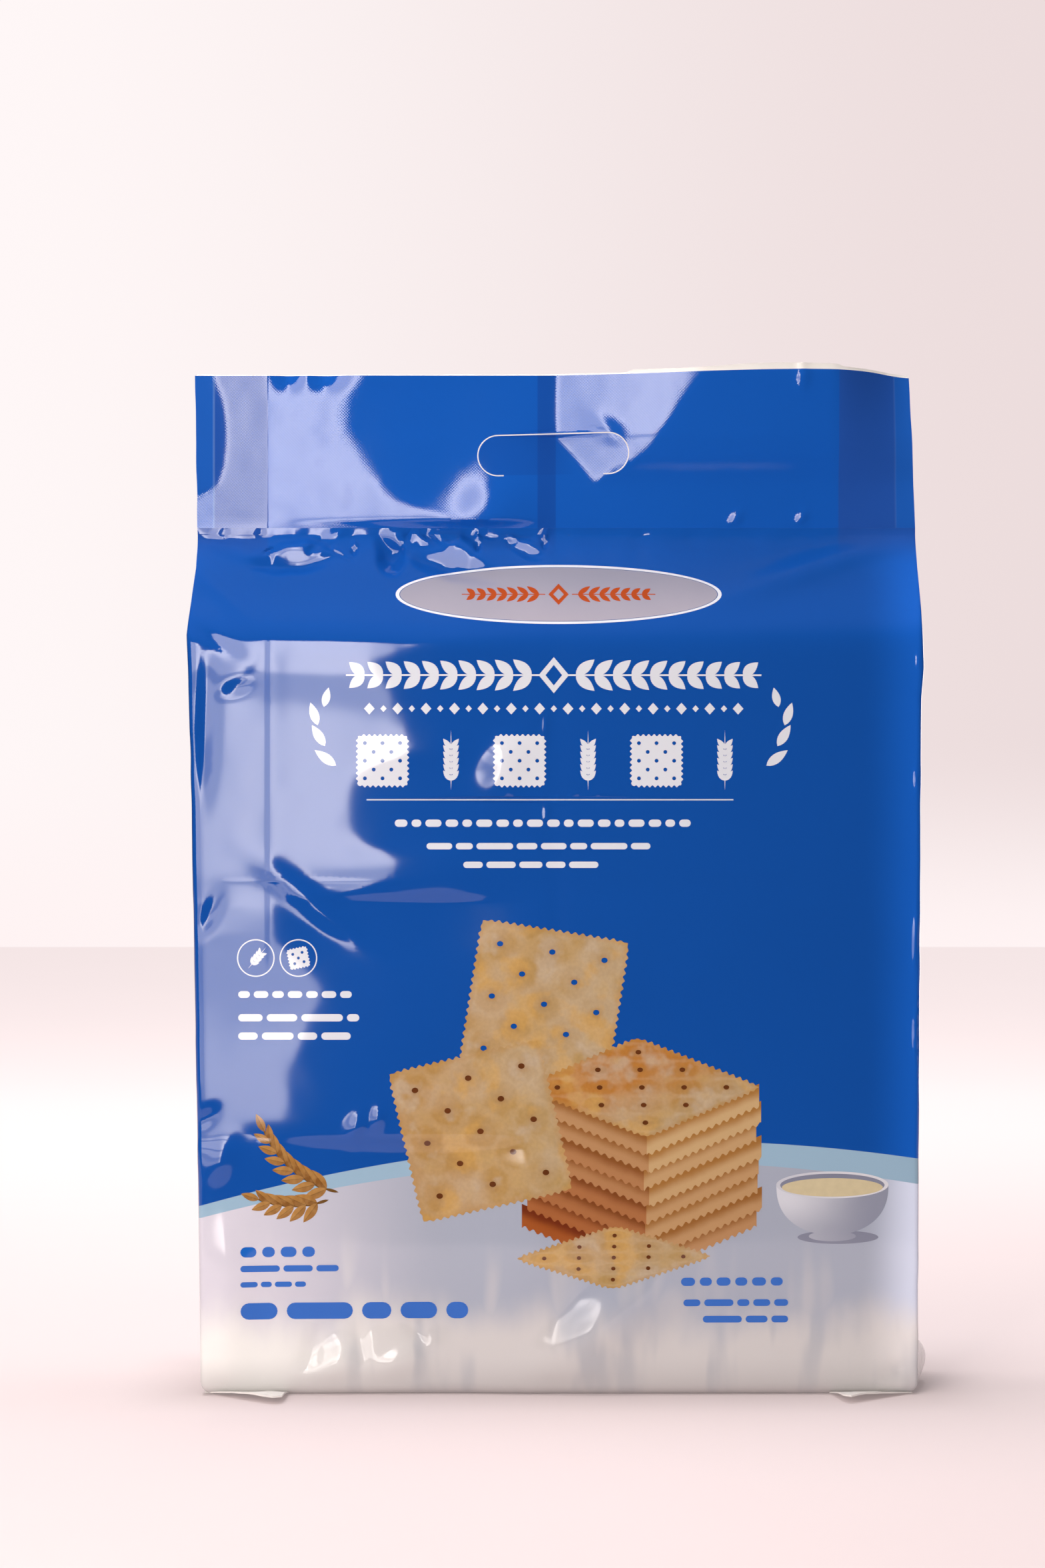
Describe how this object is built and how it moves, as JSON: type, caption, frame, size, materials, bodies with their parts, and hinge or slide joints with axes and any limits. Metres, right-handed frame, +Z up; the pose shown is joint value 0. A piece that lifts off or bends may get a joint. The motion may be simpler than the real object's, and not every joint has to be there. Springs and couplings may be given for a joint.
{
  "type": "sealed side-gusset film bag of soda crackers",
  "caption": "Sealed glossy side-gusset film bag of crackers that stands on a flat base, with a flat heat-sealed header and a die-cut carry slot.",
  "frame": {"origin": "centre of the flat base, between the two side gussets and the front and back panels", "axes": "+Z up from the base to the header, -Y out of the printed front panel, +X to the right as the front is seen"},
  "size_m": [0.305, 0.0898, 0.4227],
  "materials": {
    "printed_film": "glossy printed packaging film, blue above a pale lower field"
  },
  "bodies": {
    "root": {"film_pack": "printed_film"}
  },
  "joints": []
}
